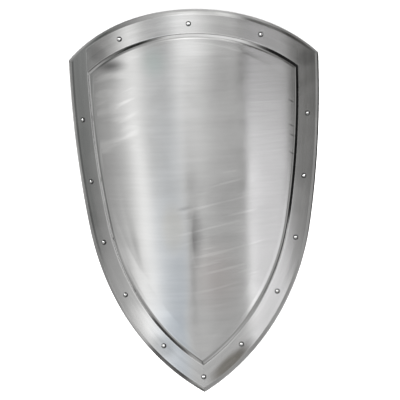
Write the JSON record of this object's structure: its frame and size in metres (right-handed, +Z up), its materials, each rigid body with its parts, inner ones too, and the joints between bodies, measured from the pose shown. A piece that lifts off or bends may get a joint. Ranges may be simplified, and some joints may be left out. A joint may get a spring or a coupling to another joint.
{
  "type": "heater shield",
  "caption": "Steel heater shield: a bent pointed plate with a raised field, riveted border strips and a turned-back edge, carried on the arm.",
  "frame": {"origin": "centre of the shield's bounding box in X and Y, on the floor that it lies on, face up", "axes": "+X to the right across the face, +Y towards the top edge, +Z up out of the face"},
  "size_m": [0.4506, 0.6986, 0.0795],
  "materials": {
    "plate": "brushed, hand ground in places",
    "strips": "brushed along the strip",
    "rivets": "bright"
  },
  "bodies": {
    "root": {"plate": "plate", "strip_top": "strips", "strip_left": "strips", "strip_right": "strips", "rivet_01": "rivets", "rivet_02": "rivets", "rivet_03": "rivets", "rivet_04": "rivets", "rivet_05": "rivets", "rivet_06": "rivets", "rivet_07": "rivets", "rivet_08": "rivets", "rivet_09": "rivets", "rivet_10": "rivets", "rivet_11": "rivets", "rivet_12": "rivets", "rivet_13": "rivets", "rivet_14": "rivets"}
  },
  "joints": []
}
